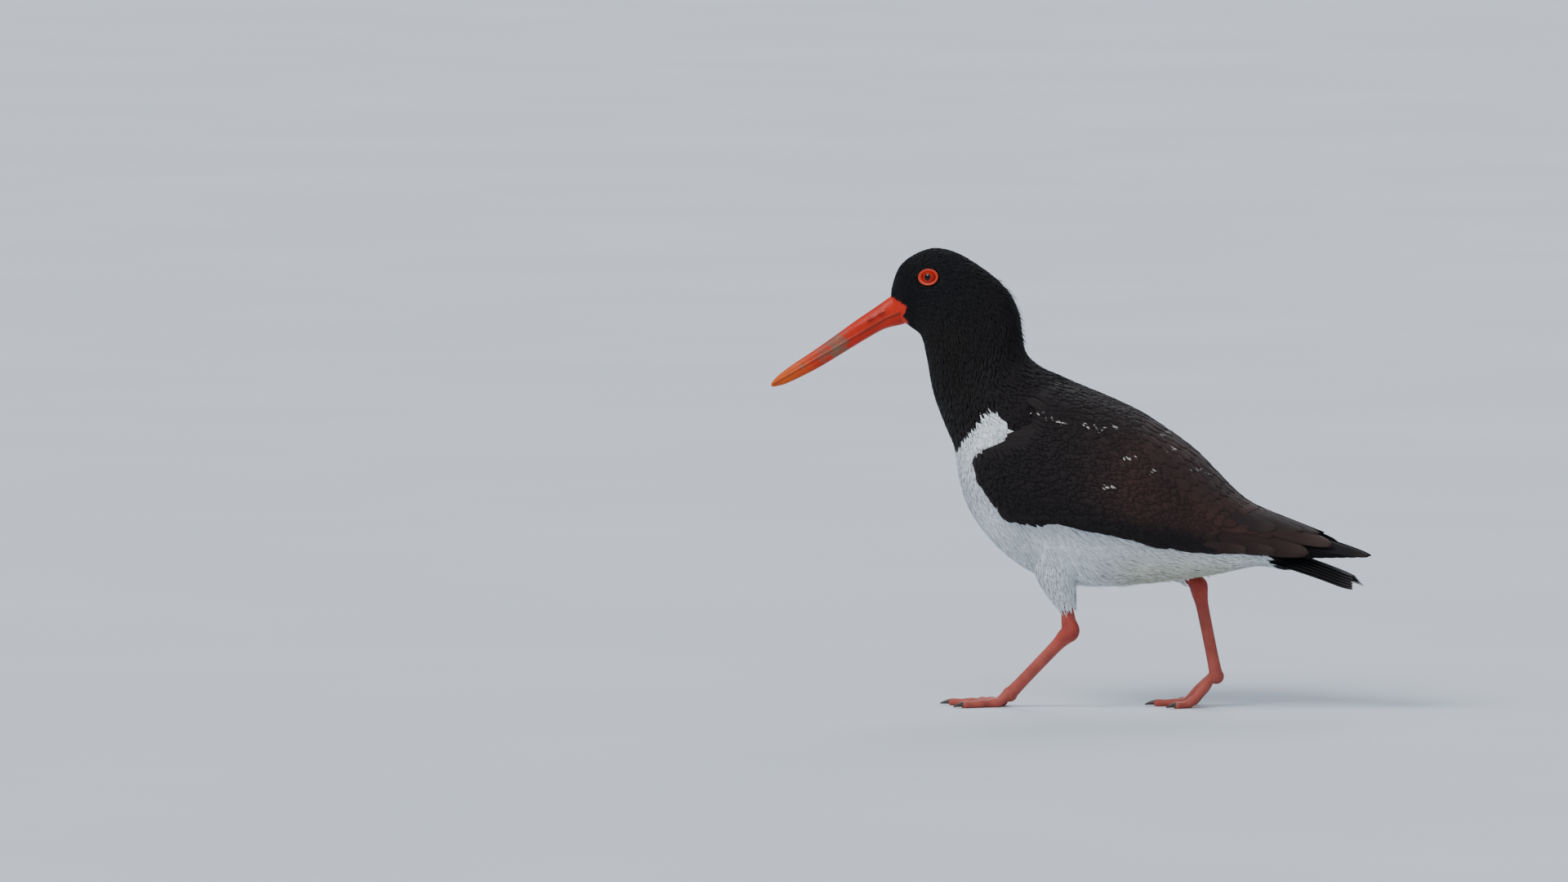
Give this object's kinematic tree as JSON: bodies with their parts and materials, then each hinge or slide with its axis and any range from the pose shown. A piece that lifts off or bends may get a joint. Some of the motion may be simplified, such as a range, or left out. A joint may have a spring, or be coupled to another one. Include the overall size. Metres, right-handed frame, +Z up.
{
  "type": "oystercatcher",
  "caption": "Life-size wading bird with a long straight bill, black head and back, white belly and folded wings, standing in a striding pose.",
  "frame": {"origin": "on the floor, in the middle of the whole object's box seen from above", "axes": "the bird faces -X, its left side is at -Y and +Z is up"},
  "size_m": [0.3435, 0.1066, 0.2574],
  "materials": {
    "bill": "satin orange-red horn",
    "black_feathers": "soft black feathers",
    "brown_feathers": "soft brown-black feathers",
    "white_feathers": "soft white feathers",
    "eye": "glossy red eye with a dark pupil",
    "leg_skin": "satin pinkish red scaled skin",
    "claw": "satin dark horn"
  },
  "bodies": {
    "root": {"bill_upper": "bill", "bill_lower": "bill", "head": "black_feathers", "neck": "black_feathers", "torso": "white_feathers", "back": "black_feathers", "tail": "black_feathers", "wing_left": "brown_feathers", "wing_right": "brown_feathers", "eye_left": "eye", "eye_right": "eye", "eyelid_left": "bill", "eyelid_right": "bill", "thigh_left": "white_feathers", "thigh_right": "white_feathers", "leg_left": "leg_skin", "leg_right": "leg_skin", "foot_left": "leg_skin", "foot_right": "leg_skin", "claw_left_middle": "claw", "claw_left_outer": "claw", "claw_left_inner": "claw", "claw_right_middle": "claw", "claw_right_outer": "claw", "claw_right_inner": "claw"}
  },
  "joints": []
}
